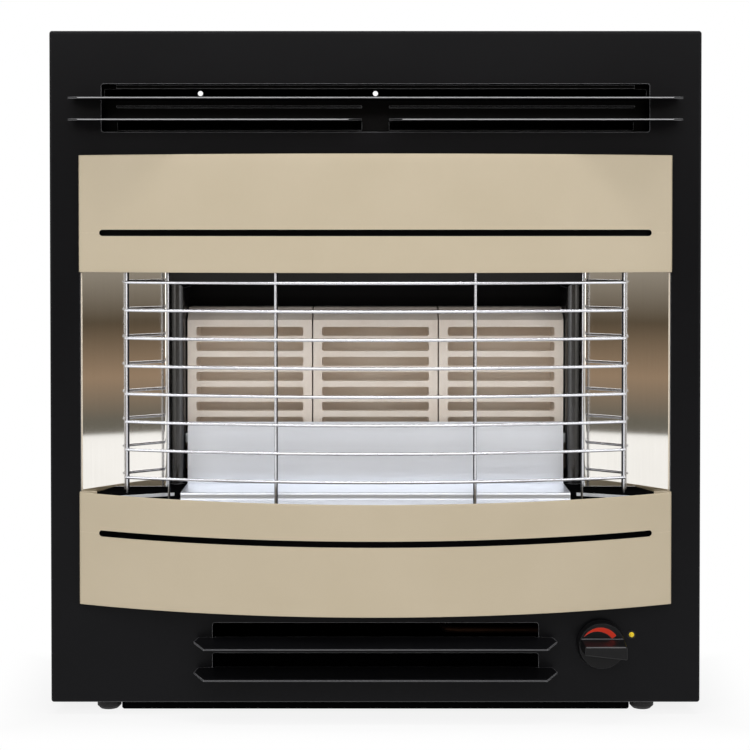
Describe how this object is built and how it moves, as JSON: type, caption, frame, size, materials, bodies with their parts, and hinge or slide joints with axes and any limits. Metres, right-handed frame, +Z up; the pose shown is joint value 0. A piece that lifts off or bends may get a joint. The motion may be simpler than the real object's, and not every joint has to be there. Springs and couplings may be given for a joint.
{
  "type": "radiant gas fire",
  "caption": "Floor-standing radiant gas fire: black steel case, bowed fascia bands, wire guard, slotted ceramic radiants, push-and-turn tap and rear flue spigot.",
  "frame": {"origin": "on the floor, under the middle of the fire's overall box", "axes": "+X to the right of someone facing the fire, +Y back through the case to the flue, +Z up"},
  "size_m": [0.55, 0.2665, 0.5785],
  "materials": {
    "black_coated_steel": "satin",
    "champagne_coated_steel": "satin",
    "polished_stainless": "polished",
    "bright_stainless": "polished",
    "plated_wire": "polished",
    "fired_ceramic": "matte",
    "fibre_board": "matte",
    "white_porcelain": "gloss",
    "galvanised_steel": "satin",
    "zinc_plated_screws": "satin",
    "spring_steel": "satin",
    "cast_aluminium": "satin",
    "turned_brass": "satin",
    "copper_pipe": "satin",
    "black_plastic": "satin",
    "red_mark": "satin",
    "yellow_plastic": "gloss",
    "silicone_lead": "matte",
    "black_rubber": "matte"
  },
  "bodies": {
    "fire": {"back_panel": "galvanised_steel", "back_screws": "zinc_plated_screws", "base_pan": "black_coated_steel", "burner": "galvanised_steel", "burner_brackets": "galvanised_steel", "fascia_screws": "zinc_plated_screws", "feet": "black_rubber", "firebox_back": "black_coated_steel", "firebrick": "fibre_board", "flue_collector": "galvanised_steel", "flue_spigot": "galvanised_steel", "front_panel": "black_coated_steel", "guard_bars": "plated_wire", "guard_uprights": "plated_wire", "hearth_shelf": "black_coated_steel", "hood": "black_coated_steel", "ignition_lead": "silicone_lead", "index_stud": "yellow_plastic", "injector": "turned_brass", "inlet_pipe": "copper_pipe", "inlet_union": "turned_brass", "inner_louvre": "black_coated_steel", "left_cheek": "black_coated_steel", "left_reflector": "polished_stainless", "left_side_panel": "black_coated_steel", "lower_fascia": "champagne_coated_steel", "lower_fins": "black_coated_steel", "pilot_bracket": "galvanised_steel", "pilot_burner": "turned_brass", "pilot_pipe": "copper_pipe", "radiant_centre": "fired_ceramic", "radiant_left": "fired_ceramic", "radiant_rails": "galvanised_steel", "radiant_right": "fired_ceramic", "return_spring": "spring_steel", "right_cheek": "black_coated_steel", "right_reflector": "polished_stainless", "right_side_panel": "black_coated_steel", "shelf_trims": "bright_stainless", "spark_electrode": "white_porcelain", "stud_collar": "black_plastic", "supply_pipe": "copper_pipe", "thermocouple": "copper_pipe", "thermocouple_lead": "copper_pipe", "top_panel": "black_coated_steel", "tray": "bright_stainless", "upper_fascia": "champagne_coated_steel", "upper_fins": "black_coated_steel", "valve_body": "cast_aluminium", "valve_bracket": "galvanised_steel", "venturi": "galvanised_steel"},
    "push_washer": {"thrust_washer": "zinc_plated_screws"},
    "knob": {"control_knob": "black_plastic", "knob_mark": "red_mark", "spindle": "zinc_plated_screws"},
    "plug": {"valve_plug": "turned_brass"}
  },
  "joints": [
    {"name": "knob_push", "type": "slide", "parent": "fire", "child": "push_washer", "axis": [0, 1, 0], "range_m": [0, 0.004], "stiffness_N_per_m": 1500, "springref_m": -0.004, "deforming": ["return_spring"]},
    {"name": "knob_turn", "type": "hinge", "parent": "push_washer", "child": "knob", "pos_m": [0.1905, -0.05665, 0.061], "axis": [0, 1, 0], "range_deg": [0, 140]},
    {"name": "plug_turn", "type": "hinge", "parent": "fire", "child": "plug", "pos_m": [0.1905, -0.01165, 0.061], "axis": [0, 1, 0], "range_deg": [0, 140]}
  ],
  "couplings": [
    {"joint": "plug_turn", "follows": "knob_turn", "ratio": 1}
  ]
}
